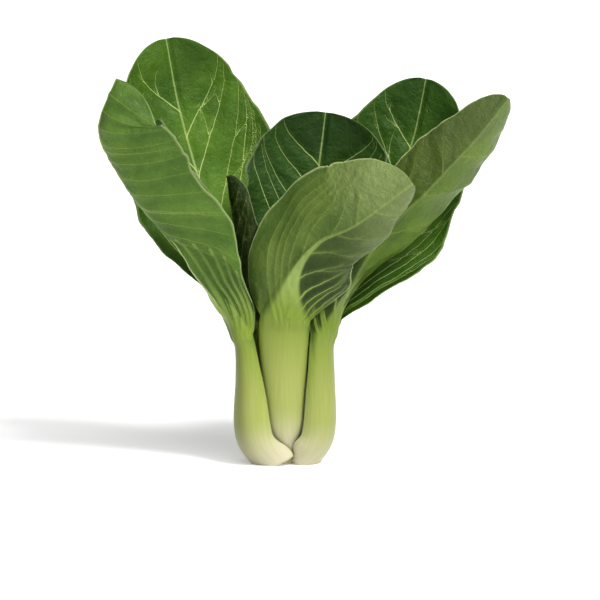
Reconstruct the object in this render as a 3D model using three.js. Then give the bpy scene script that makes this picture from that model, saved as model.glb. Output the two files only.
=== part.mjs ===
// Bok choy: one cut head with green stalks, standing on its trimmed base.
// Millimetres, +Z up. The origin is the centre of the cut base and -Y is the front.
import * as THREE from 'three';
import { mergeVertices } from 'three/addons/utils/BufferGeometryUtils.js';

// Driving dimensions shared by all leaves
const BLADE_THICKNESS = 0.8;
const STALK_EDGE_THICKNESS = 0.9;
const RIB_TIP_THICKNESS = 1.0;
const RIB_TIP_HALF_WIDTH = 0.8;
const RIB_END = 0.8; // share of the blade's length that the rib reaches
const RIB_GAP = [1.3, 0.5]; // clearance between blade and rib, at the neck and at the rib's tip
const RIB_STEP_LENGTH = 6; // stretch below the blade in which the stalk steps back behind it
const BELLY_HEIGHT = 16; // height of the widest part of the bulb along a stalk
const VEIN_SWEEP = 0.4; // how far side veins run towards the tip, as a share of the blade
const VEIN_BEND = 1.2;
const VEIN_FAN = 4; // how quickly the side veins turn from straight across to swept
const RIPPLE = 1.1; // height of the puckers between side veins

// Mesh resolution
const STALK_ROWS = 9; // from the base to the blade
const RIB_ROWS = 8;
const BLADE_ROWS = 17;
const STALK_COLUMNS = [-1, -0.85, -0.6, -0.3, 0, 0.3, 0.6, 0.85, 1];
const BLADE_COLUMNS = [-1, -0.86, -0.66, -0.43, -0.22, -0.1, 0, 0.1, 0.22, 0.43, 0.66, 0.86, 1];
const BEND_STEPS = 12;

// The cut stem that the leaves grow from
const BUTT = { footRadius: 8.6, topRadius: 4.2, height: 6.5, sides: 20 };

// Each leaf follows the inner line of its stalk and blade. Angles are in degrees.
// facing: compass angle that the outer side looks to, at base, belly, neck, mid-blade and tip.
// stalkLeft, stalkRight: half-widths at base, belly and neck. blade: widest half-widths.
// lap: how much wider the stalk is just above its foot, where it laps over its neighbour.
// wrap: curl of the stalk at base, belly and neck. fold, cup: crease and curl of the blade.
// widest, blunt: where along the blade it is widest, and how squarely it ends.
// wave: height, number and phase of the waves of its margin.
// Left and right are as seen from outside the head.
const LEAVES = [
  {
    name: 'front_leaf',
    spine: [[0, -7, 5], [0, -10, 15], [0, -13.2, 40], [0.6, -16.2, 66], [5, -23, 89],
      [16, -31, 105], [33, -38, 114], [58, -42, 133]],
    facing: [-90, -90, -90, -112, -105],
    stalkLength: 64,
    stalkLeft: [5, 10.5, 13],
    stalkRight: [5, 9.5, 11.5],
    wrap: [50, 50, 40],
    thickness: [3, 5, 2.8],
    blade: [35, 28],
    cup: [35, 66],
    fold: [5, 15],
    widest: [0.5, 0.25],
    blunt: [2.6, 1],
    wave: [2, 3, 0],
  },
  {
    name: 'left_leaf',
    spine: [[-7.8, -7, 0], [-14.2, -9.5, 14], [-17, -9.5, 40], [-22, -8, 66], [-35, -8, 84],
      [-51, -9, 105], [-73, -12, 131], [-84, -14, 157], [-76, -14, 179]],
    facing: [222, 215, 205, 190, 190],
    stalkLength: 62,
    stalkLeft: [7.5, 11, 12],
    stalkRight: [14, 10.5, 7],
    wrap: [55, 42, 46],
    thickness: [6, 8, 3.5],
    blade: [32, 34],
    cup: [25, 30],
    fold: [62, 48],
    widest: [0.6, 0.6],
    blunt: [4.5, 4.5],
    crease: 0.2,
    wave: [2, 3, 0],
  },
  {
    name: 'right_leaf',
    spine: [[8.2, -5.7, 0], [14.6, -7.7, 14], [17, -8, 40], [19.5, -6, 66], [30, -4, 86],
      [45, -3, 107], [67, -4, 129], [86, -5, 149], [103, -6, 170]],
    facing: [-35, -28, -30, -58, -55],
    stalkLength: 62,
    stalkLeft: [6.3, 9.5, 8],
    stalkRight: [7.5, 9, 11.5],
    lap: [2.8, 0],
    wrap: [55, 42, 44],
    thickness: [6, 8, 3.5],
    blade: [21, 24],
    cup: [30, 30],
    fold: [40, 15],
    widest: [0.55, 0.55],
    blunt: [2.3, 2.3],
    wave: [1.5, 3, 1],
  },
  {
    name: 'back_left_leaf',
    spine: [[-6.5, 7.5, 0], [-9.5, 11, 15], [-11.5, 13, 40], [-16, 17, 66], [-29, 29, 94],
      [-41, 41, 129], [-51, 49, 164], [-57, 51, 196]],
    facing: [131, 131, 127, 105, 105],
    stalkLength: 64,
    stalkLeft: [7, 9.5, 12],
    stalkRight: [8.5, 10.5, 12],
    wrap: [50, 50, 45],
    thickness: [5, 7, 3.5],
    blade: [39, 36],
    cup: [25, 25],
    fold: [0, 0],
    widest: [0.5, 0.5],
    blunt: [2.4, 2.4],
    wave: [2, 3, 2],
  },
  {
    name: 'back_right_leaf',
    spine: [[6.8, 7.2, 0], [10, 10.5, 15], [12.5, 12.5, 40], [18, 15, 64], [32, 25, 86],
      [49, 36, 117], [61, 44, 149], [67, 46, 177]],
    facing: [47, 47, 52, 75, 75],
    stalkLength: 64,
    stalkLeft: [6, 9, 10],
    stalkRight: [7, 9.5, 12],
    wrap: [50, 50, 45],
    thickness: [5, 7, 3.5],
    blade: [34, 36],
    cup: [25, 25],
    fold: [0, 0],
    widest: [0.45, 0.45],
    blunt: [2.4, 2.4],
    wave: [2, 3, 3],
  },
  {
    name: 'back_middle_leaf',
    spine: [[0, 4, 8], [1, 5.5, 18], [2, 7.5, 40], [4, 11, 64], [10, 18, 95], [15, 23, 130],
      [19, 25, 162]],
    facing: [90, 90, 90, 85, 85],
    stalkLength: 60,
    stalkLeft: [4, 6.5, 8],
    stalkRight: [4, 6.5, 8],
    wrap: [45, 45, 35],
    thickness: [2, 4, 3],
    blade: [35, 35],
    cup: [30, 30],
    fold: [0, 0],
    widest: [0.6, 0.6],
    blunt: [3.4, 2.4],
    wave: [2, 3, 1],
  },
  {
    name: 'inner_left_leaf',
    spine: [[-4, -1, 8], [-6, -1, 18], [-8, -1, 40], [-12, 0, 64], [-19, 0, 95], [-26, 0, 134]],
    facing: [190, 190, 190, 190, 190],
    stalkLength: 58,
    stalkLeft: [3, 5, 6],
    stalkRight: [3, 5, 6],
    wrap: [45, 45, 35],
    thickness: [2, 3.5, 2.5],
    blade: [11, 13],
    cup: [25, 25],
    fold: [40, 40],
    widest: [0.5, 0.5],
    blunt: [2.2, 2.2],
    wave: [1, 2, 0],
  },
  {
    name: 'heart_leaf_right',
    spine: [[4, -0.4, 8], [5.2, 0, 20], [6.5, 0.5, 40], [9, 1, 60], [12, 1, 80], [16, 1, 104]],
    facing: [5, 5, 5, 5, 5],
    stalkLength: 50,
    stalkLeft: [2.5, 4, 5],
    stalkRight: [2.5, 4, 5],
    wrap: [45, 45, 40],
    thickness: [2, 3, 2],
    blade: [11, 11],
    cup: [25, 25],
    fold: [35, 35],
    widest: [0.5, 0.5],
    blunt: [2.2, 2.2],
    wave: [0.8, 2, 1],
  },
  {
    name: 'heart_leaf_front',
    spine: [[0.4, -2.4, 8], [0.4, -3.2, 20], [0.4, -4.4, 40], [-0.5, -7, 58], [-2, -10, 76], [-3, -13, 94]],
    facing: [-90, -90, -90, -90, -90],
    stalkLength: 46,
    stalkLeft: [2, 3, 4],
    stalkRight: [2, 3, 4],
    wrap: [45, 45, 40],
    thickness: [2, 3, 2],
    blade: [8, 8],
    cup: [25, 25],
    fold: [35, 35],
    widest: [0.5, 0.5],
    blunt: [2.2, 2.2],
    wave: [0.8, 2, 0],
  },
];

const STALK_COLOUR = { color: 0xb9c16e, roughness: 0.38, metalness: 0 };
const BLADE_COLOUR = { color: 0x587b34, roughness: 0.5, metalness: 0 };
const BUTT_COLOUR = { color: 0xd9d9b4, roughness: 0.7, metalness: 0 };

const clamp01 = (x) => Math.min(1, Math.max(0, x));

function smooth(x) {
  const c = clamp01(x);
  return c * c * (3 - 2 * c);
}

// A leaf's inner line, with the shares of its length where the belly and the neck lie
function prepare(leaf) {
  const points = leaf.spine.map((p) => new THREE.Vector3(...p));
  const line = new THREE.CatmullRomCurve3(points, false, 'catmullrom', 0.5);
  const length = line.getLength();
  return {
    crease: 0.3,
    ...leaf,
    line,
    length,
    neck: leaf.stalkLength / length,
    belly: BELLY_HEIGHT / length,
  };
}

// A value that eases through its five stations: base, belly, neck, mid-blade and tip
function atStations(leaf, t, values) {
  const marks = [0, leaf.belly, leaf.neck, leaf.neck + 0.45 * (1 - leaf.neck), 1];
  let value = values[0];
  for (let k = 0; k < 4; k += 1) {
    value += (values[k + 1] - values[k]) * smooth((t - marks[k]) / (marks[k + 1] - marks[k]));
  }
  return value;
}

const bladeShare = (leaf, t) => clamp01((t - leaf.neck) / (1 - leaf.neck));

// Point on the inner line, with the directions across the leaf and outward from it
function frameAt(leaf, t) {
  const point = leaf.line.getPointAt(clamp01(t));
  const along = leaf.line.getTangentAt(clamp01(t));
  const angle = THREE.MathUtils.degToRad(atStations(leaf, t, leaf.facing));
  const facing = new THREE.Vector3(Math.cos(angle), Math.sin(angle), 0);
  const across = new THREE.Vector3().crossVectors(along, facing).normalize();
  const outward = new THREE.Vector3().crossVectors(across, along);
  return { point, across, outward };
}

function stalkHalfWidth(leaf, t, right) {
  const [base, belly, neck] = right ? leaf.stalkRight : leaf.stalkLeft;
  if (t < leaf.neck) {
    const lap = leaf.lap ? leaf.lap[right ? 1 : 0] : 0;
    const swell = Math.sin(Math.PI * clamp01(t / leaf.belly)) ** 2;
    return atStations(leaf, t, [base, belly, neck, neck, neck]) + lap * swell;
  }
  const left = 1 - bladeShare(leaf, t);
  return RIB_TIP_HALF_WIDTH + (neck - RIB_TIP_HALF_WIDTH) * left ** 4;
}

function halfWidth(leaf, t, right) {
  if (t < leaf.neck) {
    return stalkHalfWidth(leaf, t, right);
  }
  const neck = (right ? leaf.stalkRight : leaf.stalkLeft)[2];
  const side = right ? 1 : 0;
  const share = bladeShare(leaf, t);
  const widest = leaf.widest[side];
  const rise = Math.sin((Math.PI / 2) * clamp01(share / widest)) ** 0.9;
  const fall = Math.sqrt(1 - clamp01((share - widest) / (1 - widest)) ** leaf.blunt[side]);
  return (neck + (leaf.blade[side] - neck) * rise) * fall;
}

// Inner surface point at share t along the leaf and v across it, pushed outward by a distance
function leafPoint(leaf, t, v, outwardBy) {
  const { point, across, outward } = frameAt(leaf, t);
  const right = v >= 0;
  const side = right ? 1 : 0;
  const reach = Math.abs(v);
  const width = halfWidth(leaf, t, right);
  const foldEnd = leaf.fold[side];
  const fold = atStations(leaf, t, [0, 0, 0.15 * foldEnd, foldEnd, foldEnd]);
  const cup = atStations(leaf, t, [...leaf.wrap, leaf.cup[side], leaf.cup[side]]);
  const bend = (m) => THREE.MathUtils.degToRad(fold * clamp01(m / leaf.crease) + cup * m);
  let x = 0;
  let y = 0;
  for (let k = 0; k < BEND_STEPS; k += 1) {
    const angle = bend((reach * (k + 0.5)) / BEND_STEPS);
    x += (Math.cos(angle) * reach * width) / BEND_STEPS;
    y += (Math.sin(angle) * reach * width) / BEND_STEPS;
  }
  const [height, count, phase] = leaf.wave;
  const share = bladeShare(leaf, t);
  const turn = 2 * Math.PI * count * share + phase + (right ? 2 : 0);
  y += height * reach ** 2 * Math.sqrt(Math.sin(Math.PI * share)) * Math.sin(turn);
  const hand = right ? 1 : -1;
  const angle = bend(reach);
  const normal = outward.clone().multiplyScalar(Math.cos(angle))
    .addScaledVector(across, hand * Math.sin(angle));
  return point.addScaledVector(across, hand * x).addScaledVector(outward, -y)
    .addScaledVector(normal, outwardBy);
}

// Closed body between two grids of points that are triangulated alike
function slab(inner, outer) {
  const rows = inner.length;
  const columns = inner[0].length;
  const positions = [...inner.flat(), ...outer.flat()].flatMap((p) => [p.x, p.y, p.z]);
  const index = [];
  const at = (face, row, column) => face * rows * columns + row * columns + column;
  const quad = (a, b, c, d) => index.push(a, b, c, a, c, d);
  for (let r = 0; r < rows - 1; r += 1) {
    for (let c = 0; c < columns - 1; c += 1) {
      index.push(at(0, r, c), at(0, r + 1, c), at(0, r + 1, c + 1));
      index.push(at(0, r, c), at(0, r + 1, c + 1), at(0, r, c + 1));
      index.push(at(1, r, c), at(1, r + 1, c + 1), at(1, r + 1, c));
      index.push(at(1, r, c), at(1, r, c + 1), at(1, r + 1, c + 1));
    }
  }
  for (let r = 0; r < rows - 1; r += 1) {
    const last = columns - 1;
    quad(at(0, r, 0), at(1, r, 0), at(1, r + 1, 0), at(0, r + 1, 0));
    quad(at(0, r, last), at(0, r + 1, last), at(1, r + 1, last), at(1, r, last));
  }
  for (let c = 0; c < columns - 1; c += 1) {
    const last = rows - 1;
    quad(at(0, 0, c), at(0, 0, c + 1), at(1, 0, c + 1), at(1, 0, c));
    quad(at(0, last, c), at(1, last, c), at(1, last, c + 1), at(0, last, c + 1));
  }
  const geometry = new THREE.BufferGeometry();
  geometry.setAttribute('position', new THREE.Float32BufferAttribute(positions, 3));
  geometry.setIndex(index);
  geometry.computeVertexNormals();
  return geometry;
}

// Shares of the leaf's length at which the stalk and its rib have a ring of points
function stalkMarks(leaf) {
  const marks = [];
  for (let r = 0; r < STALK_ROWS; r += 1) {
    marks.push((leaf.neck * r) / STALK_ROWS);
  }
  for (let r = 0; r <= RIB_ROWS; r += 1) {
    marks.push(leaf.neck + ((1 - leaf.neck) * RIB_END * r) / RIB_ROWS);
  }
  return marks;
}

// The pale stalk, thick in the middle of its width, and the rib that runs on up the blade
function stalkGeometry(leaf) {
  const [base, belly, neck] = leaf.thickness;
  const stepStart = leaf.neck - RIB_STEP_LENGTH / leaf.length;
  const inner = [];
  const outer = [];
  for (const t of stalkMarks(leaf)) {
    const middle = atStations(leaf, t, [base, belly, neck, 0.35 * neck, RIB_TIP_THICKNESS]);
    const gap = RIB_GAP[1] + (RIB_GAP[0] - RIB_GAP[1]) * (1 - bladeShare(leaf, t)) ** 4;
    const stepBack = (BLADE_THICKNESS + gap)
      * smooth((t - stepStart) / (0.8 * (leaf.neck - stepStart)));
    const rows = [[], []];
    for (const u of STALK_COLUMNS) {
      const v = (u * stalkHalfWidth(leaf, t, u >= 0)) / halfWidth(leaf, t, u >= 0);
      const crown = (1 - Math.abs(u) ** 2.2) ** 0.75;
      const thickness = STALK_EDGE_THICKNESS + (middle - STALK_EDGE_THICKNESS) * crown;
      rows[0].push(leafPoint(leaf, t, v, stepBack));
      rows[1].push(leafPoint(leaf, t, v, stepBack + thickness));
    }
    inner.push(rows[0]);
    outer.push(rows[1]);
  }
  for (const point of [...inner.flat(), ...outer.flat()]) {
    point.z = Math.max(point.z, 0);
  }
  return slab(inner, outer);
}

// The green blade: a thin sheet whose rows follow the side veins, puckered between them
function bladeGeometry(leaf) {
  const inner = [];
  const outer = [];
  for (let r = 0; r <= BLADE_ROWS; r += 1) {
    const row = r / BLADE_ROWS;
    const sweep = VEIN_SWEEP * (1 - row) * (1 - (1 - row) ** VEIN_FAN);
    const rows = [[], []];
    for (const v of BLADE_COLUMNS) {
      const reach = Math.abs(v);
      const share = Math.min(row + sweep * reach ** VEIN_BEND, 0.998);
      const t = leaf.neck + (1 - leaf.neck) * share;
      const pucker = RIPPLE * Math.sin(Math.PI * reach) * Math.sin(Math.PI * row);
      const ripple = r % 2 ? pucker : -pucker;
      rows[0].push(leafPoint(leaf, t, v, ripple));
      rows[1].push(leafPoint(leaf, t, v, ripple + BLADE_THICKNESS));
    }
    inner.push(rows[0]);
    outer.push(rows[1]);
  }
  return slab(inner, outer);
}

function buttGeometry() {
  const { footRadius, topRadius, height, sides } = BUTT;
  const outline = [[0, 0], [footRadius, 0], [footRadius, 0.5 * height],
    [topRadius, height], [0, height]].map(([x, y]) => new THREE.Vector2(x, y));
  const lathe = new THREE.LatheGeometry(outline, sides);
  lathe.deleteAttribute('normal');
  lathe.deleteAttribute('uv');
  lathe.rotateX(Math.PI / 2);
  const geometry = mergeVertices(lathe, 1e-4);
  geometry.computeVertexNormals();
  return geometry;
}

function addPiece(group, name, geometry, look) {
  const mesh = new THREE.Mesh(geometry, new THREE.MeshStandardMaterial(look));
  mesh.name = name;
  group.add(mesh);
}

const head = new THREE.Group();
addPiece(head, 'cut_base', buttGeometry(), BUTT_COLOUR);
for (const leaf of LEAVES.map(prepare)) {
  addPiece(head, `${leaf.name}_stalk`, stalkGeometry(leaf), STALK_COLOUR);
  addPiece(head, `${leaf.name}_blade`, bladeGeometry(leaf), BLADE_COLOUR);
}

export default head;
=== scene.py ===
"""Bok choy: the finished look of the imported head, one fine mesh for each leaf.

Leaf sizes are in millimetres, as they were laid out, and go to metres when a mesh is made.
Left and right are as seen from outside the head, and a pair is for the left and the right half.
"""
import math
from typing import NamedTuple

import bpy
import numpy as np
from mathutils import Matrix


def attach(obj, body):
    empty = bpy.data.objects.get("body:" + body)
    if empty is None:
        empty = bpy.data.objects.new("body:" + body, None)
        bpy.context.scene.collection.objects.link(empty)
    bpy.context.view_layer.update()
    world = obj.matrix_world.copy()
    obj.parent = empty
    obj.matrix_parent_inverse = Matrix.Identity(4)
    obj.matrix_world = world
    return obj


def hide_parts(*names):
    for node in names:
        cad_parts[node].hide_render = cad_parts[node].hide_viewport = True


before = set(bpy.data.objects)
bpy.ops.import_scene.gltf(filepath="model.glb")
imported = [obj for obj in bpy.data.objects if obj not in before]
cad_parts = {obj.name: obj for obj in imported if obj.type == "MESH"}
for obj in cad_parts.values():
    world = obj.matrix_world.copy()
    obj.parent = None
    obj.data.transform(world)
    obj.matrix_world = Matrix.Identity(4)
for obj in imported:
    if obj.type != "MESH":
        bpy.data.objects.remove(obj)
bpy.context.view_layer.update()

MM = 0.001
SEED = 7

# Driving dimensions shared by all leaves, in millimetres
BLADE_THICKNESS = 0.8
MARGIN_THICKNESS = 0.35
STALK_EDGE_THICKNESS = 0.9
RIB_TIP_HALF_WIDTH = 0.8
RIB_DEPTH_AT_TIP = 0.5
BELLY_HEIGHT = 16
BEND_STEPS = 12

# Each leaf follows the inner line of its stalk and blade. Angles are in degrees.
# facing: compass angle that the outer side looks to, at base, belly, neck, mid-blade and tip.
# stalk_left, stalk_right: half-widths at base, belly and neck. lap: extra half-width at the belly.
# wrap, thickness: curl and depth of the stalk at base, belly and neck.
# blade: half-width at its widest. widest: share of the blade's length where that is.
# blunt: how squarely the blade ends beyond its widest. cup: even curl of the blade.
# fold: turn beside the midrib. crease: share of the half-width that the fold is spread over.
# wave: height, number and start of the waves along the margin.
LEAVES = [
    {
        "name": "front_leaf",
        "spine": [[0, -7, 5], [0, -10, 15], [0, -13.2, 40], [0.6, -16.2, 66], [5, -23, 89],
            [16, -31, 105], [33, -38, 114], [58, -42, 133]],
        "facing": [-90, -90, -90, -112, -105],
        "stalk_length": 64,
        "stalk_left": [5, 10.5, 13],
        "stalk_right": [5, 9.5, 11.5],
        "wrap": [50, 50, 40],
        "thickness": [3, 5, 2.8],
        "blade": [35, 28],
        "cup": [35, 66],
        "fold": [5, 15],
        "widest": [0.5, 0.25],
        "blunt": [2.6, 1],
        "wave": [2, 3, 0],
    },
    {
        "name": "left_leaf",
        "spine": [[-7.8, -7, 0], [-14.2, -9.5, 14], [-17, -9.5, 40], [-22, -8, 66], [-35, -8, 84],
            [-51, -9, 105], [-73, -12, 131], [-84, -14, 157], [-76, -14, 179]],
        "facing": [222, 215, 205, 190, 190],
        "stalk_length": 62,
        "stalk_left": [7.5, 11, 12],
        "stalk_right": [14, 10.5, 7],
        "wrap": [55, 42, 46],
        "thickness": [6, 8, 3.5],
        "blade": [32, 34],
        "cup": [25, 30],
        "fold": [62, 48],
        "widest": [0.6, 0.6],
        "blunt": [4.5, 4.5],
        "crease": 0.2,
        "wave": [2, 3, 0],
    },
    {
        "name": "right_leaf",
        "spine": [[8.2, -5.7, 0], [14.6, -7.7, 14], [17, -8, 40], [19.5, -6, 66], [30, -4, 86],
            [45, -3, 107], [67, -4, 129], [86, -5, 149], [103, -6, 170]],
        "facing": [-35, -28, -30, -58, -55],
        "stalk_length": 62,
        "stalk_left": [6.3, 9.5, 8],
        "stalk_right": [7.5, 9, 11.5],
        "lap": [2.8, 0],
        "wrap": [55, 42, 44],
        "thickness": [6, 8, 3.5],
        "blade": [21, 24],
        "cup": [30, 30],
        "fold": [40, 15],
        "widest": [0.55, 0.55],
        "blunt": [2.3, 2.3],
        "wave": [1.5, 3, 1],
    },
    {
        "name": "back_left_leaf",
        "spine": [[-6.5, 7.5, 0], [-9.5, 11, 15], [-11.5, 13, 40], [-16, 17, 66], [-29, 29, 94],
            [-41, 41, 129], [-51, 49, 164], [-57, 51, 196]],
        "facing": [131, 131, 127, 105, 105],
        "stalk_length": 64,
        "stalk_left": [7, 9.5, 12],
        "stalk_right": [8.5, 10.5, 12],
        "wrap": [50, 50, 45],
        "thickness": [5, 7, 3.5],
        "blade": [39, 36],
        "cup": [25, 25],
        "fold": [0, 0],
        "widest": [0.5, 0.5],
        "blunt": [2.4, 2.4],
        "wave": [2, 3, 2],
    },
    {
        "name": "back_right_leaf",
        "spine": [[6.8, 7.2, 0], [10, 10.5, 15], [12.5, 12.5, 40], [18, 15, 64], [32, 25, 86],
            [49, 36, 117], [61, 44, 149], [67, 46, 177]],
        "facing": [47, 47, 52, 75, 75],
        "stalk_length": 64,
        "stalk_left": [6, 9, 10],
        "stalk_right": [7, 9.5, 12],
        "wrap": [50, 50, 45],
        "thickness": [5, 7, 3.5],
        "blade": [34, 36],
        "cup": [25, 25],
        "fold": [0, 0],
        "widest": [0.45, 0.45],
        "blunt": [2.4, 2.4],
        "wave": [2, 3, 3],
    },
    {
        "name": "back_middle_leaf",
        "spine": [[0, 4, 8], [1, 5.5, 18], [2, 7.5, 40], [4, 11, 64], [10, 18, 95], [15, 23, 130],
            [19, 25, 162]],
        "facing": [90, 90, 90, 85, 85],
        "stalk_length": 60,
        "stalk_left": [4, 6.5, 8],
        "stalk_right": [4, 6.5, 8],
        "wrap": [45, 45, 35],
        "thickness": [2, 4, 3],
        "blade": [35, 35],
        "cup": [30, 30],
        "fold": [0, 0],
        "widest": [0.6, 0.6],
        "blunt": [3.4, 2.4],
        "wave": [2, 3, 1],
    },
    {
        "name": "inner_left_leaf",
        "spine": [[-4, -1, 8], [-6, -1, 18], [-8, -1, 40], [-12, 0, 64], [-19, 0, 95], [-26, 0, 134]],
        "facing": [190, 190, 190, 190, 190],
        "stalk_length": 58,
        "stalk_left": [3, 5, 6],
        "stalk_right": [3, 5, 6],
        "wrap": [45, 45, 35],
        "thickness": [2, 3.5, 2.5],
        "blade": [11, 13],
        "cup": [25, 25],
        "fold": [40, 40],
        "widest": [0.5, 0.5],
        "blunt": [2.2, 2.2],
        "wave": [1, 2, 0],
    },
    {
        "name": "heart_leaf_right",
        "spine": [[4, -0.4, 8], [5.2, 0, 20], [6.5, 0.5, 40], [9, 1, 60], [12, 1, 80], [16, 1, 104]],
        "facing": [5, 5, 5, 5, 5],
        "stalk_length": 50,
        "stalk_left": [2.5, 4, 5],
        "stalk_right": [2.5, 4, 5],
        "wrap": [45, 45, 40],
        "thickness": [2, 3, 2],
        "blade": [11, 11],
        "cup": [25, 25],
        "fold": [35, 35],
        "widest": [0.5, 0.5],
        "blunt": [2.2, 2.2],
        "wave": [0.8, 2, 1],
    },
    {
        "name": "heart_leaf_front",
        "spine": [[0.4, -2.4, 8], [0.4, -3.2, 20], [0.4, -4.4, 40], [-0.5, -7, 58],
            [-2, -10, 76], [-3, -13, 94]],
        "facing": [-90, -90, -90, -90, -90],
        "stalk_length": 46,
        "stalk_left": [2, 3, 4],
        "stalk_right": [2, 3, 4],
        "wrap": [45, 45, 40],
        "thickness": [2, 3, 2],
        "blade": [8, 8],
        "cup": [25, 25],
        "fold": [35, 35],
        "widest": [0.5, 0.5],
        "blunt": [2.2, 2.2],
        "wave": [0.8, 2, 0],
    },
]

# What a leaf has unless its row above or DETAILS gives its own. Colours are 8-bit screen colours.
# mesh_scale: share of the usual rows and columns in its mesh.
# ribs: how many side veins start in the stalk. forks: shares of a side vein where it branches.
# climb: how far up the blade a side vein climbs on its way to the margin.
# vein_fade, midrib_fade: how far up the blade veins and midrib stay strong on the outside.
# wedge: how fast the pale midrib narrows on the outside. thin_midrib: its least half-width.
# groove: how dark the painted shade in the grooves between the ribs is.
# flap: share of the blade, at midrib and margin, where it doubles over its own ribs.
# ragged: unevenness of the margin, as a share of the half-width. ragged_spacing: bump to bump.
# inside, outside: greens of the two faces. tip_bloom: how far a painted sheen paints the outside paler at
# the tip.
# rim: how strong the painted highlight along the edge is. crumple: depth of the crumples near the tip.
# blade_tones, stalk_tones: painted light and shade on the outer left and right halves, as brightness
# factors.
USUAL = {
    "crease": 0.3,
    "lap": (0, 0),
    "mesh_scale": 1.0,
    "ribs": (4, 4),
    "forks": (0.35, 0.6),
    "climb": (0.75, 0.75),
    "vein_fade": (0.2, 0.2),
    "midrib_fade": 0.75,
    "wedge": 14,
    "thin_midrib": 0.55,
    "groove": (0.8, 0.8),
    "flap": None,
    "ragged": 0.022,
    "ragged_spacing": 5.5,
    "inside": (100, 130, 34),
    "outside": (110, 136, 46),
    "tip_bloom": 0.0,
    "rim": 0.4,
    "crumple": 0.8,
    "blade_tones": (1.0, 1.0),
    "stalk_tones": (1.0, 1.0),
}
DETAILS = {
    "front_leaf": {
        "ribs": (3, 5),
        "climb": (0.8, 0.42),
        "vein_fade": (0.16, 0.5),
        "midrib_fade": 0.8,
        "wedge": 6,
        "groove": (0.15, 1.0),
        "ragged": 0.035,
        "ragged_spacing": 6,
        "inside": (52, 88, 16),
        "outside": (86, 108, 46),
        "tip_bloom": 0.5,
        "rim": 0.8,
        "crumple": 2.4,
        "blade_tones": (0.98, 0.72),
        "stalk_tones": (1.0, 0.97),
    },
    "left_leaf": {
        "forks": (),
        "climb": (0.3, -0.42),
        "midrib_fade": 2.5,
        "thin_midrib": 0.75,
        "flap": (0.41, 0.07),
        "ragged": 0.03,
        "ragged_spacing": 6,
        "inside": (52, 88, 16),
        "outside": (77, 108, 37),
        "stalk_tones": (0.64, 1.0),
    },
    "right_leaf": {
        "climb": (0.4, 0.3),
        "vein_fade": (0.3, 0.25),
        "midrib_fade": 0.22,
        "inside": (44, 76, 14),
        "outside": (78, 102, 28),
        "tip_bloom": 0.2,
        "rim": 1.0,
        "crumple": 0.7,
        "blade_tones": (0.62, 1.15),
        "stalk_tones": (0.92, 0.87),
    },
    "back_left_leaf": {
        "inside": (86, 124, 27),
        "outside": (84, 108, 34),
    },
    "back_right_leaf": {
        "climb": (0.6, 0.7),
        "inside": (67, 106, 25),
        "outside": (84, 108, 34),
    },
    "back_middle_leaf": {
        "ribs": (1, 1),
        "forks": (),
        "ragged": 0.06,
        "ragged_spacing": 7,
        "inside": (50, 86, 24),
        "outside": (76, 98, 32),
        "rim": 0.3,
    },
    "inner_left_leaf": {
        "mesh_scale": 0.55,
        # Both greens are darkened as painted shade, for the shade deep inside the head.
        "inside": (36, 54, 16),
        "outside": (34, 50, 14),
        "rim": 0.3,
    },
    "heart_leaf_right": {"mesh_scale": 0.55},
    "heart_leaf_front": {"mesh_scale": 0.55},
}

# Colours that all leaves share, then those of the cut stem
VEIN = (146, 168, 88)
INNER_VEIN = (172, 192, 112)
RIM_HIGHLIGHT = (184, 198, 136)
# A painted highlight along the edges
PAINTED_TIP_SHEEN = (134, 146, 92)
# A painted sheen on the outside near the tip
STALK_LOW = (194, 186, 160)
STALK_MID = (154, 160, 88)
STALK_TOP = (118, 137, 48)
CUT_STEM = (214, 208, 168)
BROWNED_STEM = (176, 158, 112)
PALE_STEM = (232, 228, 200)

# Tints, which multiply a scene colour
DARKER = (0.6, 0.68, 0.6, 1)
YELLOWED = (1.25, 1.12, 0.9, 1)
# The tint of painted shade
SHADED = (0.38, 0.46, 0.26, 1)
STREAKED = (0.86, 0.95, 0.72, 1)
WHITE = (1, 1, 1, 1)

# Patterns of the leaves, in repeats a millimetre, and of the cut stem, in repeats a metre
PATCHES = 0.045
GRAIN = 0.6
WARP = 0.35
NET = 0.24
SMALL_NET = 0.7
CRUMPLES = 0.3
STREAKS = (1.3, 0.05, 1.0)
STEM_PATCHES = 160.0
STEM_GRAIN = 900.0

# Fine mesh: rows along the stalk and the blade, columns across the leaf
STALK_ROWS = 60
BLADE_ROWS = 210
COLUMNS = 112
LAST_ROW = 0.998  # share of the blade at which the last row lies

# Where ribs and side veins leave the midrib, as shares of the blade. Ribs start in the stalk.
RIB_STARTS = (-1.0, -0.62, -0.36, -0.17, -0.02)
SIDE_VEIN_STARTS = (0.15, 0.33, 0.52, 0.7)
START_SHIFT = (-0.02, 0.05)
START_JITTER = 0.025
RIB_BELOW = 0.12  # veins that start below this are ribs
STEEP_START = 0.4  # veins that start below this are left out where veins run downward
RIB_CLIMB = 0.4
RIB_RISE = 0.3
LEAST_FINISH = 0.12
MOST_FINISH = 0.97
FOLDED_VEIN_STARTS = np.arange(0.45, 0.98, 0.055)
FORK_FROM = 0.1  # veins that start below this have no forks
FORK_SWING = (16, 30)
FORK_LENGTH = (0.35, 0.6)
VEIN_CURVE = 1.15
VEIN_REACH = 0.95
VEIN_STEPS = 22
VEIN_WIGGLE = 0.9
STALK_RUN = 5  # millimetres that a rib runs down into the stalk

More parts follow.
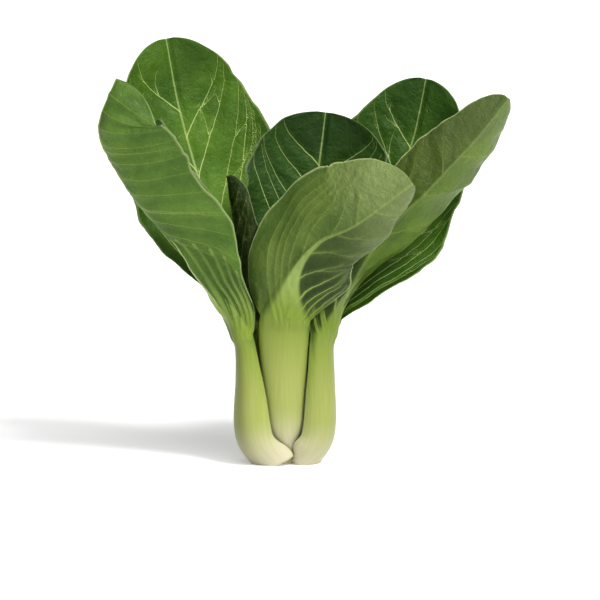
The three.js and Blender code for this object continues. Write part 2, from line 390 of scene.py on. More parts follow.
# Half-widths and heights of veins in millimetres, and how far the outer ones fade
RIB_WIDTH = 1.1
SIDE_VEIN_WIDTH = 0.46
FORK_WIDTH = 0.28
VEIN_END_WIDTH = 0.12
FORK_END_WIDTH = 0.1
RIB_HEIGHT = 1.6
SIDE_VEIN_HEIGHT = 0.6
FORK_HEIGHT = 0.15
FADED_VEIN = 0.2
INSIDE_WEDGE = 9
FAR = 99.0  # a distance beyond any vein's reach
VEIN_SPREAD = 9  # how far from a vein its distance is worked out
FAR_SIDE = 1.6  # distances to a vein's middle line are kept within this
COLOURED_REACH = 1.4  # nothing farther than this from a vein takes its colour

# The doubled-over part of the left leaf: its height, then the ribs below it, at shares of the
# half-width, and the thin veins on it, both with half-widths at start and end
FLAP_STEP = 1.8
FLAP_RIBS = (0.15, 0.33, 0.52, 0.7, 0.87)
FLAP_RIB_WIDTHS = (1.0, 0.8)
FLAP_RIB_HEIGHT = 1.1
FOLDED_VEIN_WIDTHS = (0.3, 0.15)
FOLDED_VEIN_HEIGHT = 0.3
FLAP_VEIN_STRENGTH = 0.32

# Swelling between veins, small blisters, slow waves and stalk ridges, in millimetres
PUCKER = 0.9
QUILT = 0.16
QUILT_SPACING = (3.1, 1.4)
MARGIN_WAVE = 0.7
MARGIN_WAVE_SPACING = 9
BLADE_WAVE = 0.5
BLADE_WAVE_SPACING = 11
STALK_RIDGE_HEIGHT = 0.05
STALK_RIDGE_SPACING = 2.0

# Waxy surface of the leaves, and the dry cut stem
SPECULAR = 0.16
SUBSURFACE = 0.1
SUBSURFACE_RADIUS = (0.6, 1.0, 0.25)
SUBSURFACE_SCALE = 2 * MM
BUMP_DISTANCE = 0.5 * MM
LEAF_BUMP = 0.5
STEM_BUMP = 0.4
STALK_ROUGHNESS = (0.36, 0.36, 0.36, 1)
INSIDE_ROUGHNESS = 0.4
OUTSIDE_ROUGHNESS = (0.5, 0.38)  # low on the blade, and near its tip
STEM_ROUGHNESS = 0.75

# The photograph's framing: 600 pixels span 279 mm at the head, seen from 6 degrees above
PIXEL = 0.465 * MM
PHOTO_SIZE = 600
BASE_PIXEL = (285, 462)
CAMERA_DISTANCE = 1.5
CAMERA_RISE = math.radians(6)
SENSOR_MM = 36

# Studio: direction, apparent width in degrees and strength of each light, then the floor
LIGHTS = (((0.25, -0.7, 1.0), 60, 2.1), ((0.5, -0.55, 0.95), 14, 2.1))
SKY_STRENGTH = 0.28
FLOOR_HALF_SIZE = 40.0
FLOOR_COLOUR = (0.95, 0.95, 0.95, 1)
FLOOR_ROUGHNESS = 0.6
FLOOR_GLOW = 0.25


def smooth(x):
    """Ease from 0 to 1 as x goes from 0 to 1."""
    x = np.clip(x, 0, 1)
    return x * x * (3 - 2 * x)


def value_noise(x, y, rng, size=64):
    """Smooth repeatable noise in -1..1 on a grid of unit cells."""
    table = rng.uniform(-1, 1, (size, size))
    xi, yi = np.floor(x).astype(int), np.floor(y).astype(int)
    fx, fy = smooth(x - xi), smooth(y - yi)

    def at(i, j):
        return table[(xi + i) % size, (yi + j) % size]

    return ((at(0, 0) * (1 - fx) + at(1, 0) * fx) * (1 - fy)
            + (at(0, 1) * (1 - fx) + at(1, 1) * fx) * fy)


def catmull_rom(points, steps=40):
    """Dense points on a smooth line through the given ones, their shares of its length, and that."""
    p = np.array(points, float)
    p = np.vstack([2 * p[0] - p[1], p, 2 * p[-1] - p[-2]])
    u = (np.arange(steps) / steps)[:, None]
    dense = []
    for a, b, c, d in zip(p, p[1:], p[2:], p[3:]):
        dense.append(0.5 * (2 * b + (c - a) * u + (2 * a - 5 * b + 4 * c - d) * u ** 2
                            + (3 * b - a - 3 * c + d) * u ** 3))
    dense.append(p[-2][None])
    line = np.vstack(dense)
    run = np.concatenate([[0], np.cumsum(np.linalg.norm(np.diff(line, axis=0), axis=1))])
    return line, run / run[-1], run[-1]


def by_side(right, pair):
    """The first of a pair on the left half, the second on the right half."""
    return np.where(right, pair[1], pair[0])


class Leaf:
    """The curved surface of one leaf, the same formulas as its solids.

    t is a share of the leaf's length, v is -1 at the left margin, 0 at the midrib and 1 at the right.
    """

    def __init__(self, values):
        self.__dict__.update({**USUAL, **DETAILS[values["name"]], **values})
        self.line, self.share, self.length = catmull_rom(self.spine)
        self.tangent = np.gradient(self.line, self.share, axis=0)
        self.neck = self.stalk_length / self.length
        self.belly = BELLY_HEIGHT / self.length

    def at_stations(self, t, values):
        """A value that eases through its stations: base, belly, neck, mid-blade and tip."""
        marks = (0, self.belly, self.neck, self.neck + 0.45 * (1 - self.neck), 1)
        value = np.full(np.shape(t), float(values[0]))
        for k in range(4):
            value = value + (values[k + 1] - values[k]) * smooth((t - marks[k]) / (marks[k + 1] - marks[k]))
        return value

    def blade_share(self, t):
        return np.clip((t - self.neck) / (1 - self.neck), 0, 1)

    def frame_at(self, t):
        """Points of the spine, with the directions across the leaf and outward."""
        point = np.stack([np.interp(t, self.share, self.line[:, k]) for k in range(3)], -1)
        along = np.stack([np.interp(t, self.share, self.tangent[:, k]) for k in range(3)], -1)
        along /= np.linalg.norm(along, axis=-1, keepdims=True)
        angle = np.radians(self.at_stations(t, self.facing))
        facing = np.stack([np.cos(angle), np.sin(angle), np.zeros_like(angle)], -1)
        across = np.cross(along, facing)
        across /= np.linalg.norm(across, axis=-1, keepdims=True)
        return point, across, np.cross(across, along)

    def stalk_half(self, t, right):
        """Half-width of the stalk, then of the rib that tapers along the blade."""
        left_of = self.at_stations(np.minimum(t, self.neck), [*self.stalk_left, self.stalk_left[2], 0])
        right_of = self.at_stations(np.minimum(t, self.neck), [*self.stalk_right, self.stalk_right[2], 0])
        lap = by_side(right, self.lap) * np.sin(np.pi * np.clip(t / self.belly, 0, 1)) ** 2
        petiole = by_side(right, (left_of, right_of)) + lap
        neck = by_side(right, (self.stalk_left[2], self.stalk_right[2]))
        rib = RIB_TIP_HALF_WIDTH + (neck - RIB_TIP_HALF_WIDTH) * (1 - self.blade_share(t)) ** 4
        return np.where(t < self.neck, petiole, rib)

    def half(self, t, right):
        """Half-width of the whole leaf."""
        neck = by_side(right, (self.stalk_left[2], self.stalk_right[2]))
        widest = by_side(right, self.blade)
        share = self.blade_share(t)
        peak = by_side(right, self.widest)
        rise = np.sin(np.pi / 2 * np.clip(share / peak, 0, 1)) ** 0.9
        beyond = np.clip((share - peak) / (1 - peak), 0, 1)
        fall = np.sqrt(1 - beyond ** by_side(right, self.blunt))
        return np.where(t < self.neck, self.stalk_half(t, right), (neck + (widest - neck) * rise) * fall)

    def surface(self, t, v):
        """Points of the inner surface and the outward normals there."""
        point, across, outward = self.frame_at(t)
        right = v >= 0
        hand = by_side(right, (-1.0, 1.0))
        reach = np.abs(v)
        width = self.half(t, right)
        folds = [self.at_stations(t, [0, 0, 0.15 * f, f, f]) for f in self.fold]
        cups = [self.at_stations(t, [*self.wrap, c, c]) for c in self.cup]
        fold = np.radians(by_side(right, folds))
        cup = np.radians(by_side(right, cups))

        def bend(m):
            return fold * np.clip(m / self.crease, 0, 1) + cup * m

        x = np.zeros_like(t)
        y = np.zeros_like(t)
        for k in range(BEND_STEPS):
            angle = bend(reach * (k + 0.5) / BEND_STEPS)
            x = x + np.cos(angle) * reach * width / BEND_STEPS
            y = y + np.sin(angle) * reach * width / BEND_STEPS
        height, count, phase = self.wave
        share = self.blade_share(t)
        turn = 2 * np.pi * count * share + phase + 2 * right
        y = y + height * reach ** 2 * np.sqrt(np.clip(np.sin(np.pi * share), 0, 1)) * np.sin(turn)
        angle = bend(reach)
        normal = np.cos(angle)[..., None] * outward + (hand * np.sin(angle))[..., None] * across
        return point + (hand * x)[..., None] * across - y[..., None] * outward, normal


def flap_edge(leaf, reach):
    """Share of the blade at which the doubled-over part begins."""
    at_midrib, at_margin = leaf.flap
    return at_midrib - (at_midrib - at_margin) * (0.7 * reach ** 0.9 + 0.3 * reach ** 8)


def flap_rib(leaf, reach):
    """Flat points of a straight rib from the stalk to the doubled-over part."""
    share = np.linspace(0, flap_edge(leaf, reach) + 0.02, 10)
    t = np.concatenate([leaf.neck * np.linspace(0.93, 1, 3, endpoint=False),
                        leaf.neck + (1 - leaf.neck) * share])
    across = reach * leaf.half(t, np.full(t.shape, True))
    return np.stack([across, t * leaf.length], -1)


def vein_path(leaf, start, climb, right, rng):
    """Flat points of one side vein, in millimetres across and along the leaf."""
    hand = 1 if right else -1
    if start < 0:
        climb = max(climb, RIB_CLIMB)
    finish = max(start, 0) + climb * (1 - max(start, 0)) + 0.3 * min(start, 0)
    if climb > 0:
        finish = max(finish, LEAST_FINISH)
    share = np.linspace(max(start, 0), min(finish, MOST_FINISH), VEIN_STEPS)
    reach = VEIN_REACH * ((share - start) / (finish - start)) ** VEIN_CURVE
    t = leaf.neck + (1 - leaf.neck) * share
    across = hand * reach * leaf.half(t, np.full(t.shape, right))
    along = t * leaf.length
    bends = np.cumsum(rng.normal(0, VEIN_WIGGLE / VEIN_STEPS ** 0.5, VEIN_STEPS))
    across = across + bends * np.clip(np.arange(VEIN_STEPS) / 4, 0, 1)
    if start < 0:
        down = np.linspace(1, 0, 8, endpoint=False)
        run = STALK_RUN * rng.uniform(0.4, 1.5)
        across = np.concatenate([across[0] * (1 - 0.01 * run * down), across])
        along = np.concatenate([along[0] - run * down, along])
    return np.stack([across, along], -1)


def turned(path, degrees, scale):
    """A copy of a path swung about its first point and shortened."""
    angle = math.radians(degrees)
    step = path - path[0]
    swung = np.stack([step[:, 0] * math.cos(angle) - step[:, 1] * math.sin(angle),
                      step[:, 0] * math.sin(angle) + step[:, 1] * math.cos(angle)], -1)
    return path[0] + scale * swung


class Vein(NamedTuple):
    """Flat points of a vein, its half-widths and height, and how it comes up and dies away.

    rise is the share of the vein over which it comes up, taper how fast its height falls.
    """
    path: np.ndarray
    width: float
    end_width: float
    height: float
    rise: float
    taper: float


def side_veins(leaf, right, rng):
    """Ribs, side veins and their forks on one half of a leaf."""
    veins = []
    climb = leaf.climb[right]
    for start in RIB_STARTS[-leaf.ribs[right]:] + SIDE_VEIN_STARTS:
        moved = start + START_SHIFT[right] + rng.uniform(-START_JITTER, START_JITTER)
        if climb < 0 and moved < STEEP_START:
            continue
        path = vein_path(leaf, moved, climb, right, rng)
        is_rib = moved < RIB_BELOW
        width = RIB_WIDTH if is_rib else SIDE_VEIN_WIDTH
        height = RIB_HEIGHT if is_rib else SIDE_VEIN_HEIGHT
        rise = RIB_RISE if moved < 0 else 0
        veins.append(Vein(path, width, VEIN_END_WIDTH, height, rise, taper=1.6))
        forks = leaf.forks if moved > FORK_FROM else ()
        for fork in forks:
            tail = path[int(len(path) * fork):]
            swing = rng.uniform(*FORK_SWING) * rng.choice((-1, 1))
            branch = turned(tail, swing, rng.uniform(*FORK_LENGTH))
            veins.append(Vein(branch, FORK_WIDTH, FORK_END_WIDTH, FORK_HEIGHT, rise=0, taper=1.2))
    return veins


def flap_veins(leaf, rng):
    """Straight ribs below the doubled-over part, and thin veins that run down across it."""
    veins = []
    for reach in FLAP_RIBS:
        veins.append(Vein(flap_rib(leaf, reach), *FLAP_RIB_WIDTHS, FLAP_RIB_HEIGHT, rise=0.2, taper=0))
    for start in FOLDED_VEIN_STARTS:
        path = vein_path(leaf, start, leaf.climb[1], True, rng)
        veins.append(Vein(path, *FOLDED_VEIN_WIDTHS, FOLDED_VEIN_HEIGHT, rise=0, taper=1.2))
    return veins


def leaf_veins(leaf, rng):
    """All veins of a leaf."""
    veins = side_veins(leaf, False, rng) + side_veins(leaf, True, rng)
    if leaf.flap:
        veins += flap_veins(leaf, rng)
    return veins


def vein_field(across, along, veins):
    """Relief of the veins, and for the nearest vein its distance, signed distance and half-width."""
    relief = np.zeros_like(across)
    nearest = np.full_like(across, FAR)
    best = np.full_like(across, FAR)
    side = np.full_like(across, FAR_SIDE)
    half_width = np.zeros_like(across)
    for vein in veins:
        count = len(vein.path) - 1
        for k in range(count):
            a, b = vein.path[k], vein.path[k + 1]
            low = np.minimum(a, b) - VEIN_SPREAD
            high = np.maximum(a, b) + VEIN_SPREAD
            near = (across > low[0]) & (across < high[0]) & (along > low[1]) & (along < high[1])
            if not near.any():
                continue
            px, pz = across[near] - a[0], along[near] - a[1]
            step = b - a
            u = np.clip((px * step[0] + pz * step[1]) / max(step @ step, 1e-9), 0, 1)
            distance = np.hypot(px - u * step[0], pz - u * step[1])
            done = (k + u) / count
            width = vein.width + (vein.end_width - vein.width) * done ** 0.5
            grown = smooth(done / vein.rise) if vein.rise else 1.0
            ridge = np.exp(-(distance / (0.6 + width)) ** 2)
            bump = vein.height * ridge * (1 - done) ** vein.taper * grown
            relief[near] = np.maximum(relief[near], bump)
            nearest[near] = np.minimum(nearest[near], distance)
            ratio = distance / (width + 0.2)
            closer = ratio < best[near]
            best[near] = np.where(closer, ratio, best[near])
            sign = np.where(px * step[1] - pz * step[0] >= 0, 1.0, -1.0)
            side[near] = np.where(closer, distance * sign, side[near])
            half_width[near] = np.where(closer, width * np.where(grown > 0.3, 1, 0), half_width[near])
    half_width[nearest > COLOURED_REACH] = 0
    return relief, nearest, np.clip(side, -FAR_SIDE, FAR_SIDE), half_width


class Grid:
    """Rows along a leaf and columns across it, with the measures that the rest works from."""

    def __init__(self, leaf):
        stalk_rows, blade_rows, columns = (
            int(count * leaf.mesh_scale) for count in (STALK_ROWS, BLADE_ROWS, COLUMNS))
        stalk_t = leaf.neck * np.linspace(0, 1, stalk_rows, endpoint=False)
        blade_t = leaf.neck + (1 - leaf.neck) * LAST_ROW * np.linspace(0, 1, blade_rows) ** 0.97
        v = np.linspace(-1, 1, columns)
        v = np.sign(v) * np.abs(v) ** 1.1
        self.t, self.v = np.meshgrid(np.concatenate([stalk_t, blade_t]), v, indexing="ij")
        self.right = self.v >= 0
        self.reach = np.abs(self.v)
        self.share = leaf.blade_share(self.t)
        self.across = self.v * leaf.half(self.t, self.right)
        self.along = self.t * leaf.length
        self.in_blade = smooth(self.share / 0.12)
        self.off_rib = np.abs(self.across) / leaf.stalk_half(self.t, self.right)
        self.on_rib = np.clip(1 - self.off_rib ** 2.2, 0, 1) ** 0.75
        self.fade_at = by_side(self.right, leaf.vein_fade)
        self.outside_vein = 1 - (1 - FADED_VEIN) * smooth(self.share / self.fade_at)


def uneven_margin(leaf, grid, rng):
    """The grid's v, drawn in and out near the margin."""
    nibble = value_noise(grid.along / leaf.ragged_spacing, 9 * grid.right, rng) * grid.reach ** 8
    return grid.v * (1 + leaf.ragged * nibble * (grid.share > 0))


def leaf_thickness(leaf, grid):
    """Crescent stalk, then a thin blade with the tapering rib on its outer side."""
    base, belly, neck = leaf.thickness
    middle = leaf.at_stations(grid.t, [base, belly, neck, 0.4 * neck, RIB_DEPTH_AT_TIP])
    stalk = STALK_EDGE_THICKNESS + (middle - STALK_EDGE_THICKNESS) * grid.on_rib
    sheet = BLADE_THICKNESS + (MARGIN_THICKNESS - BLADE_THICKNESS) * smooth((grid.reach - 0.75) / 0.25)
    blade = sheet + middle * grid.on_rib * (1 - 0.3 * grid.share)
    step = smooth((grid.t - leaf.neck) * leaf.length / 10 + 0.5)
    return stalk * (1 - step) + blade * step


def blade_lift(grid, nearest, rng):
    """How far the blade moves outward: slow waves, less the swelling between veins and blisters.

    A number added to a place in a noise only moves its pattern along.
    """
    calm = smooth((grid.off_rib - 1) / 3) * grid.in_blade * (1 - 0.6 * smooth((grid.reach - 0.8) / 0.2))
    swell = PUCKER * (1 - np.exp(-(nearest / 3.2) ** 2)) * calm * smooth((grid.share + 0.1) / 0.5)
    large, small = QUILT_SPACING
    blister = QUILT * value_noise(grid.across / large + 40, grid.along / large, rng)
    blister = blister + 0.6 * QUILT * value_noise(grid.across / small + 90, grid.along / small, rng)
    along_margin = value_noise(grid.along / MARGIN_WAVE_SPACING + 3 * grid.right, 5, rng)
    on_blade = value_noise(grid.across / BLADE_WAVE_SPACING + 30, grid.along / BLADE_WAVE_SPACING, rng)
    wave = MARGIN_WAVE * along_margin * grid.reach ** 3 + BLADE_WAVE * on_blade
    return (wave - blister) * grid.in_blade - swell


def stalk_ridges(grid, rng):
    ridge = STALK_RIDGE_HEIGHT * value_noise(grid.across / STALK_RIDGE_SPACING + 20, grid.along / 70, rng)
    return ridge * (1 - grid.in_blade) * grid.on_rib * smooth(grid.along / 12)


def doubled_over(leaf, grid):
    """1 where the blade lies over its own ribs, 0 elsewhere."""
    if not leaf.flap:
        return np.zeros_like(grid.t)
    edge = flap_edge(leaf, grid.reach) + 0.008 * np.sin(11 * grid.reach)
    above = (grid.share - edge) * (1 - leaf.neck) * leaf.length
    return smooth(above + 0.5) * smooth(grid.reach / 0.05) * grid.right


def groove_shade_mask(leaf, grid, nearest):
    """How much painted shade a place takes in the grooves between ribs, 0 to 1."""
    painted_groove_shade = (1 - np.exp(-nearest ** 2)) * smooth((1.6 * grid.fade_at - grid.share) / (1.3 * grid.fade_at))
    return painted_groove_shade * smooth((grid.along - leaf.stalk_length) / 14) * by_side(grid.right, leaf.groove)


def pale_midrib(leaf, grid, is_inside):
    """How far the pale midrib hides the green, on the inside or the outside."""
    neck_half = leaf.stalk_half(np.minimum(grid.t, leaf.neck), grid.right)
    thin = leaf.thin_midrib
    tip_half = thin * (1 - 0.5 * grid.share) if is_inside else thin
    narrowing = INSIDE_WEDGE if is_inside else leaf.wedge
    pale_half = tip_half + (0.95 * neck_half - thin) * (1 - grid.share) ** narrowing
    faded = 1 - (0.5 if is_inside else 0.8) * smooth(grid.share / leaf.midrib_fade)
    return smooth((1.15 - np.abs(grid.across) / pale_half) / 0.5) * faded


def ring_values(inner, outer=None):
    """Values for the ring of points of each row: the inner side, then the outer side back."""
    outer = inner if outer is None else outer
    return np.concatenate([inner, outer[:, ::-1]], axis=1).reshape(-1)


def ring_faces(rows, columns):
    """Faces between the rings of a closed leaf, and over its two ends."""
    ring = 2 * columns
    r, c = np.meshgrid(np.arange(rows - 1), np.arange(ring), indexing="ij")
    beside = (c + 1) % ring
    sides = np.stack([r * ring + c, (r + 1) * ring + c, (r + 1) * ring + beside, r * ring + beside], -1)
    ends = []
    last = (rows - 1) * ring
    for k in range(columns - 1):
        mirror = ring - 1 - k
        ends.append((k, k + 1, mirror - 1, mirror))
        ends.append((last + mirror, last + mirror - 1, last + k + 1, last + k))
    return np.vstack([sides.reshape(-1, 4), np.array(ends)])


def leaf_mesh(leaf, rng):
    """Closed mesh of a leaf, with the values that its material reads."""
    grid = Grid(leaf)
    inner_point, normal = leaf.surface(grid.t, uneven_margin(leaf, grid, rng))
    veins = leaf_veins(leaf, rng)
    relief, nearest, vein_side, vein_width = vein_field(grid.across, grid.along, veins)
    lift = blade_lift(grid, nearest, rng)
    ridge = stalk_ridges(grid, rng)
    flap = doubled_over(leaf, grid)
    outer_relief = relief * (0.25 + 0.75 * grid.outside_vein)
    outer_relief = outer_relief * (1 - 0.8 * flap) + FLAP_STEP * flap * smooth((0.85 - grid.share) / 0.5)
    inner = inner_point + normal * lift[..., None]
    height = lift + leaf_thickness(leaf, grid) + outer_relief + ridge
    outer = inner_point + normal * height[..., None]
    ring = np.concatenate([inner, outer[:, ::-1]], axis=1)
    ring[..., 2] = np.maximum(ring[..., 2], 0)

    fray = 9 * value_noise(grid.across / 2 + 60, grid.along / 50, rng)
    stalk_end = leaf.stalk_length - 5 - 4 * np.minimum(grid.off_rib, 1) ** 2 - fray
    petiole = 1 - smooth((grid.along - stalk_end) / 16)
    # Painted highlight along the edges of the blade, fainter along the stalk
    rim = smooth((grid.reach - 0.974) / 0.012) * (0.4 + 0.6 * grid.in_blade)
    green_edge = smooth((grid.off_rib - 0.6) / 0.4) * smooth((grid.along - 25) / 30) * (1 - grid.in_blade)
    values = {
        "pale": ring_values(np.maximum(petiole, pale_midrib(leaf, grid, True)),
                            np.maximum(petiole, pale_midrib(leaf, grid, False))),
        "height": ring_values(np.clip(grid.along / leaf.stalk_length, 0, 3)),
        "green_edge": ring_values(green_edge),
        "vein_near": ring_values(np.exp(-(nearest / 2.2) ** 2) * grid.in_blade),
        "vein_side": ring_values(vein_side),
        "vein_width": ring_values(vein_width),
        "share": ring_values(grid.share),
        # Painted shade in the grooves, none on the doubled-over part
        "painted_groove_shade": ring_values(groove_shade_mask(leaf, grid, nearest) * (1 - flap)),
        "rim": ring_values(rim),
        # Masks for the painted light and shade on the left and right halves
        "right_half": ring_values(smooth(0.5 + grid.across / 3)),
        "stalk_side": ring_values(smooth((grid.v + 0.1) / 0.7)),
        "outside_vein": ring_values(grid.outside_vein * (1 - flap) + FLAP_VEIN_STRENGTH * flap),
        "reach": ring_values(grid.reach),
        "inside": ring_values(np.ones_like(grid.t), np.zeros_like(grid.t)),
    }
    flat = np.stack([ring_values(grid.across), ring_values(grid.along), values["inside"] * 50], -1)
    return ring.reshape(-1, 3) * MM, ring_faces(*grid.t.shape), values, flat


def make_object(name, points, faces, values, flat):
    mesh = bpy.data.meshes.new(name)
    mesh.from_pydata(points.tolist(), [], faces.tolist())
    for key, data in values.items():
        mesh.attributes.new(key, "FLOAT", "POINT").data.foreach_set("value", data.astype(np.float32))
    mesh.attributes.new("flat", "FLOAT_VECTOR", "POINT").data.foreach_set(
        "vector", flat.astype(np.float32).ravel())
    mesh.polygons.foreach_set("use_smooth", np.ones(len(mesh.polygons), bool))
    mesh.validate()
    mesh.update()
    obj = bpy.data.objects.new(name, mesh)
    bpy.context.scene.collection.objects.link(obj)
    return obj


def linear(screen):
    """Scene colour of an 8-bit screen colour."""
    def one(value):
        c = value / 255
        return c / 12.92 if c <= 0.04045 else ((c + 0.055) / 1.055) ** 2.4
    return (*(one(value) for value in screen), 1.0)


class Shader:
    """Short ways to add and join nodes in one material."""

    def __init__(self, name):
        self.material = bpy.data.materials.new(name)
        self.material.use_nodes = True
        self.tree = self.material.node_tree
        self.principled = self.tree.nodes["Principled BSDF"]

    def put(self, socket, value):
        if isinstance(value, bpy.types.NodeSocket):
            self.tree.links.new(value, socket)
        else:
            socket.default_value = value

    def set(self, name, value):
        """Give one socket of the surface a value or a node's output."""
        self.put(self.principled.inputs[name], value)

    def attribute(self, name, output="Fac"):
        node = self.tree.nodes.new("ShaderNodeAttribute")
        node.attribute_name = name
        return node.outputs[output]

    def mix(self, factor, first, second, blend="MIX"):
        node = self.tree.nodes.new("ShaderNodeMix")
        node.data_type = "RGBA"
        node.blend_type = blend
        self.put(node.inputs[0], factor)
        self.put(node.inputs[6], first)
        self.put(node.inputs[7], second)
        return node.outputs[2]

    def tint(self, colour, by):
        return self.mix(1.0, colour, by, "MULTIPLY")

    def math(self, operation, first, second=0.0, clamp=False):
        node = self.tree.nodes.new("ShaderNodeMath")
        node.operation = operation
        node.use_clamp = clamp
        self.put(node.inputs[0], first)
        self.put(node.inputs[1], second)
        return node.outputs[0]

    def times(self, first, second):
        return self.math("MULTIPLY", first, second)

    def plus(self, first, second):
        return self.math("ADD", first, second)

    def rest_of(self, value):
        """1 less the value."""
        return self.math("SUBTRACT", 1.0, value, True)

    def ramp(self, value, low, high, first=0.0, second=1.0):
        node = self.tree.nodes.new("ShaderNodeMapRange")
        node.interpolation_type = "SMOOTHSTEP"
        self.put(node.inputs["Value"], value)
        self.put(node.inputs["From Min"], low)
        self.put(node.inputs["From Max"], high)
        self.put(node.inputs["To Min"], first)
        self.put(node.inputs["To Max"], second)
        return node.outputs["Result"]

    def noise(self, vector, scale, detail=3.0):
        node = self.tree.nodes.new("ShaderNodeTexNoise")
        self.put(node.inputs["Vector"], vector)
        self.put(node.inputs["Scale"], scale)
        self.put(node.inputs["Detail"], detail)
        return node.outputs["Fac"]

    def cells(self, vector, scale):
        """Distance to the edges of irregular cells."""
        node = self.tree.nodes.new("ShaderNodeTexVoronoi")
        node.feature = "DISTANCE_TO_EDGE"
        self.put(node.inputs["Vector"], vector)
        self.put(node.inputs["Scale"], scale)
        return node.outputs["Distance"]

    def stretched(self, vector, scale):
        node = self.tree.nodes.new("ShaderNodeMapping")
        node.inputs["Scale"].default_value = scale
        self.put(node.inputs["Vector"], vector)
        return node.outputs["Vector"]

    def bump(self, height, strength):
        node = self.tree.nodes.new("ShaderNodeBump")
        self.put(node.inputs["Height"], height)
        self.put(node.inputs["Strength"], strength)
        self.put(node.inputs["Distance"], BUMP_DISTANCE)
        return node.outputs["Normal"]


class LeafShader(Shader):
    """Waxy leaf: darker inside, lighter outside, pale veins, stalk from cream to green."""

    def __init__(self, leaf):
        super().__init__(leaf.name)
        self.leaf = leaf
        self.flat = self.attribute("flat", "Vector")
        self.pale = self.attribute("pale")
        self.height = self.attribute("height")
        self.share = self.attribute("share")
        self.is_inside = self.attribute("inside")
        self.fine = self.noise(self.flat, GRAIN, 4.0)
        self.warped = self.mix(0.06, self.flat, self.noise(self.flat, WARP), "ADD")
        self.net = self.ramp(self.cells(self.warped, NET), 0.0, 0.05, 1.0, 0.0)
        self.small_net = self.ramp(self.cells(self.warped, SMALL_NET), 0.0, 0.1, 1.0, 0.0)
        self.streaks = self.noise(self.stretched(self.flat, STREAKS), 1.0, 4.0)

    def patchy_green(self):
        """The two greens, broken up by patches, yellower beside the veins, with a faint net."""
        green = self.mix(self.is_inside, linear(self.leaf.outside), linear(self.leaf.inside))
        darker = self.tint(green, DARKER)
        green = self.mix(self.ramp(self.noise(self.flat, PATCHES), 0.35, 0.65), darker, green)
        beside_vein = self.times(self.attribute("vein_near"), 0.55)
        green = self.mix(beside_vein, green, self.tint(green, YELLOWED))
        green = self.mix(self.times(self.net, 0.07), green, linear(VEIN))
        green = self.mix(self.times(self.small_net, 0.04), green, linear(VEIN))
        return self.mix(self.times(self.ramp(self.fine, 0.4, 0.75), 0.18), green, darker)

    def blade_green(self):
        """The green with painted shade in grooves and inside, painted shading of each half and a painted
        sheen at the tip.
        """
        green = self.patchy_green()
        shaded = self.tint(green, SHADED)
        # Painted shade in the grooves between the ribs.
        green = self.mix(self.attribute("painted_groove_shade"), green, shaded)
        # Painted light and shade: one outer half darker, the other lighter.
        half_shading = self.ramp(self.attribute("right_half"), 0.0, 1.0, *self.leaf.blade_tones)
        green = self.tint(green, self.mix(self.is_inside, half_shading, WHITE))
        # Painted shade on the inside, darker towards the margin and the tip.
        painted_margin_shade = self.ramp(self.attribute("reach"), 0.5, 1.0, 0.0, 0.75)
        painted_tip_shade = self.ramp(self.share, 0.45, 0.95, 0.0, 0.8)
        painted_inside_shade = self.math("MAXIMUM", painted_margin_shade, painted_tip_shade)
        green = self.mix(self.times(painted_inside_shade, self.is_inside), green, shaded)
        # Painted sheen: the outside turns paler and greyer towards the tip.
        tip = self.ramp(self.share, 0.5, 0.95, 0.0, self.leaf.tip_bloom)
        return self.mix(self.times(tip, self.rest_of(self.is_inside)), green, linear(PAINTED_TIP_SHEEN))

    def stalk_colour(self):
        """Cream at the foot, green at the top and the edges, with long streaks, and painted shade on one
        side.
        """
        stalk = self.mix(self.ramp(self.height, 0.02, 0.4), linear(STALK_LOW), linear(STALK_MID))
        stalk = self.mix(self.ramp(self.height, 0.4, 1.15), stalk, linear(STALK_TOP))
        stalk = self.mix(self.times(self.attribute("green_edge"), 0.75), stalk, linear(STALK_TOP))
        streak = self.ramp(self.streaks, 0.4, 0.7, 0.0, 0.7)
        stalk = self.mix(streak, stalk, self.tint(stalk, STREAKED))
        # Painted shade on one side of the stalk, lighter on the other.
        return self.tint(stalk, self.ramp(self.attribute("stalk_side"), 0.0, 1.0, *self.leaf.stalk_tones))

    def on_vein(self):
        """1 on a vein, 0 off it; veins are thinner inside and fade up the blade outside."""
        vein_width = self.attribute("vein_width")
        off_centre = self.math("DIVIDE", self.math("ABSOLUTE", self.attribute("vein_side")),
                               self.plus(vein_width, 0.001))
        off_centre = self.times(off_centre, self.plus(1.0, self.times(self.is_inside, 0.5)))
        mask = self.times(self.ramp(off_centre, 0.45, 1.25, 1.0, 0.0),
                          self.ramp(vein_width, 0.02, 0.3, 0.35, 1.0))
        return self.times(mask, self.mix(self.is_inside, self.attribute("outside_vein"), WHITE))

    def colour(self):
        vein_colour = self.mix(self.is_inside, linear(VEIN), linear(INNER_VEIN))
        pale_colour = self.mix(self.ramp(self.height, 1.05, 1.4), self.stalk_colour(), vein_colour)
        covered = self.math("MAXIMUM", self.pale, self.on_vein())
        colour = self.mix(covered, self.blade_green(), pale_colour)
        # Painted highlight along the edges
        return self.mix(self.times(self.attribute("rim"), self.leaf.rim), colour, linear(RIM_HIGHLIGHT))

    def roughness(self):
        outside = self.ramp(self.share, 0.4, 0.9, *OUTSIDE_ROUGHNESS)
        green = self.ramp(self.is_inside, 0.0, 1.0, outside, INSIDE_ROUGHNESS)
        rough = self.mix(self.pale, green, STALK_ROUGHNESS)
        uneven = self.times(self.math("SUBTRACT", self.fine, 0.5), 0.2)
        return self.math("ADD", rough, uneven, True)

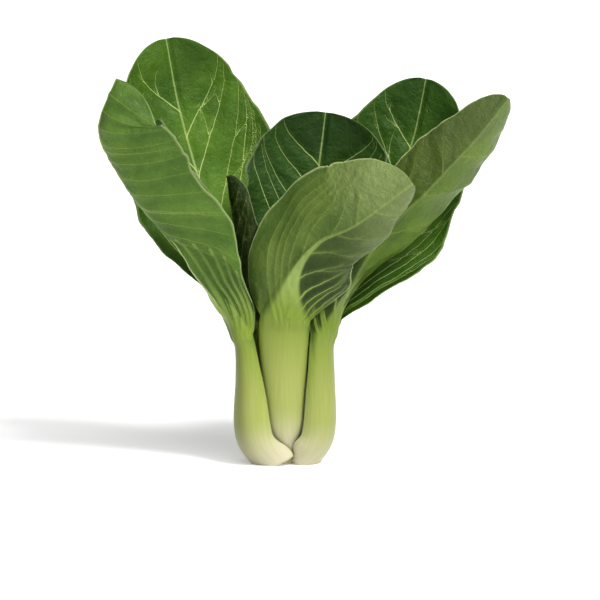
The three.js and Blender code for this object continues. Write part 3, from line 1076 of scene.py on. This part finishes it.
    def relief(self):
        """Pits of the net and crumples on the green, streaks on the pale parts."""
        pits = self.plus(self.times(self.net, -0.6), self.times(self.small_net, -0.3))
        pits = self.plus(pits, self.times(self.fine, 0.8))
        crumples = self.ramp(self.noise(self.warped, CRUMPLES, 4.0), 0.35, 0.75)
        crumples = self.times(crumples, self.ramp(self.share, 0.3, 0.8, 0.3, self.leaf.crumple))
        crumples = self.times(crumples, self.ramp(self.is_inside, 0.0, 1.0, 1.0, 0.4))
        on_green = self.times(self.plus(pits, crumples), self.rest_of(self.pale))
        return self.plus(on_green, self.times(self.streaks, self.times(self.pale, 0.35)))


def leaf_material(leaf):
    s = LeafShader(leaf)
    s.set("Base Color", s.colour())
    s.set("Roughness", s.roughness())
    s.set("Normal", s.bump(s.relief(), LEAF_BUMP))
    s.set("Specular IOR Level", SPECULAR)
    s.set("Subsurface Weight", SUBSURFACE)
    s.set("Subsurface Radius", SUBSURFACE_RADIUS)
    s.set("Subsurface Scale", SUBSURFACE_SCALE)
    return s.material


def base_material():
    """Dry cut stem: cream with browned patches and a fine grain."""
    s = Shader("cut_base")
    coordinates = s.tree.nodes.new("ShaderNodeTexCoord").outputs["Object"]
    grain = s.noise(coordinates, STEM_GRAIN, 5.0)
    patches = s.noise(coordinates, STEM_PATCHES)
    colour = s.mix(s.ramp(patches, 0.35, 0.7), linear(CUT_STEM), linear(BROWNED_STEM))
    s.set("Base Color", s.mix(s.times(grain, 0.3), colour, linear(PALE_STEM)))
    s.set("Roughness", STEM_ROUGHNESS)
    s.set("Normal", s.bump(grain, STEM_BUMP))
    return s.material


def build_leaves():
    for index, values in enumerate(LEAVES):
        leaf = Leaf(values)
        piece = make_object(leaf.name, *leaf_mesh(leaf, np.random.default_rng(SEED + index)))
        piece.data.materials.append(leaf_material(leaf))
        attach(piece, "root")
        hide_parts(leaf.name + "_stalk", leaf.name + "_blade")


def dress_base():
    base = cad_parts["cut_base"]
    base.data.materials.clear()
    base.data.materials.append(base_material())


def add_floor():
    """Plain floor that glows a little, so that the shadow on it stays pale."""
    size = FLOOR_HALF_SIZE
    corners = [(-size, -size, 0), (size, -size, 0), (size, size, 0), (-size, size, 0)]
    mesh = bpy.data.meshes.new("floor")
    mesh.from_pydata(corners, [], [(0, 1, 2, 3)])
    floor = bpy.data.objects.new("floor", mesh)
    bpy.context.scene.collection.objects.link(floor)
    s = Shader("floor")
    s.set("Base Color", FLOOR_COLOUR)
    s.set("Roughness", FLOOR_ROUGHNESS)
    s.set("Emission Color", WHITE)
    s.set("Emission Strength", FLOOR_GLOW)
    mesh.materials.append(s.material)


def direction_to_euler(aim):
    """Rotation that turns an object's -Z axis along a direction, with no roll."""
    x, y, z = aim
    return (math.atan2(math.hypot(x, y), -z), 0.0, math.atan2(-x, y))


def add_sun(place, softness, strength):
    """Light from a direction; softness is its apparent width in degrees."""
    data = bpy.data.lights.new("studio light", "SUN")
    data.angle = math.radians(softness)
    data.energy = strength
    light = bpy.data.objects.new("studio light", data)
    light.rotation_euler = direction_to_euler(-np.array(place))
    bpy.context.scene.collection.objects.link(light)


def add_camera():
    """Camera that puts the foot of the head at its pixel in the photograph."""
    middle = PHOTO_SIZE / 2
    foot_x, foot_y = BASE_PIXEL
    rise = (foot_y - middle) * PIXEL / math.cos(CAMERA_RISE)
    target = np.array([(middle - foot_x) * PIXEL, 0.0, rise])
    back = np.array([0.0, -math.cos(CAMERA_RISE), math.sin(CAMERA_RISE)])
    data = bpy.data.cameras.new("camera")
    data.sensor_width = SENSOR_MM
    data.lens = SENSOR_MM * CAMERA_DISTANCE / (PHOTO_SIZE * PIXEL)
    camera = bpy.data.objects.new("camera", data)
    camera.location = target + CAMERA_DISTANCE * back
    camera.rotation_euler = direction_to_euler(-back)
    bpy.context.scene.collection.objects.link(camera)
    bpy.context.scene.camera = camera


def add_world():
    world = bpy.data.worlds.new("studio")
    world.use_nodes = True
    sky = world.node_tree.nodes["Background"]
    sky.inputs["Color"].default_value = WHITE
    sky.inputs["Strength"].default_value = SKY_STRENGTH
    bpy.context.scene.world = world
    bpy.context.scene.view_settings.view_transform = "Standard"


build_leaves()
dress_base()
add_floor()
for light in LIGHTS:
    add_sun(*light)
add_camera()
add_world()
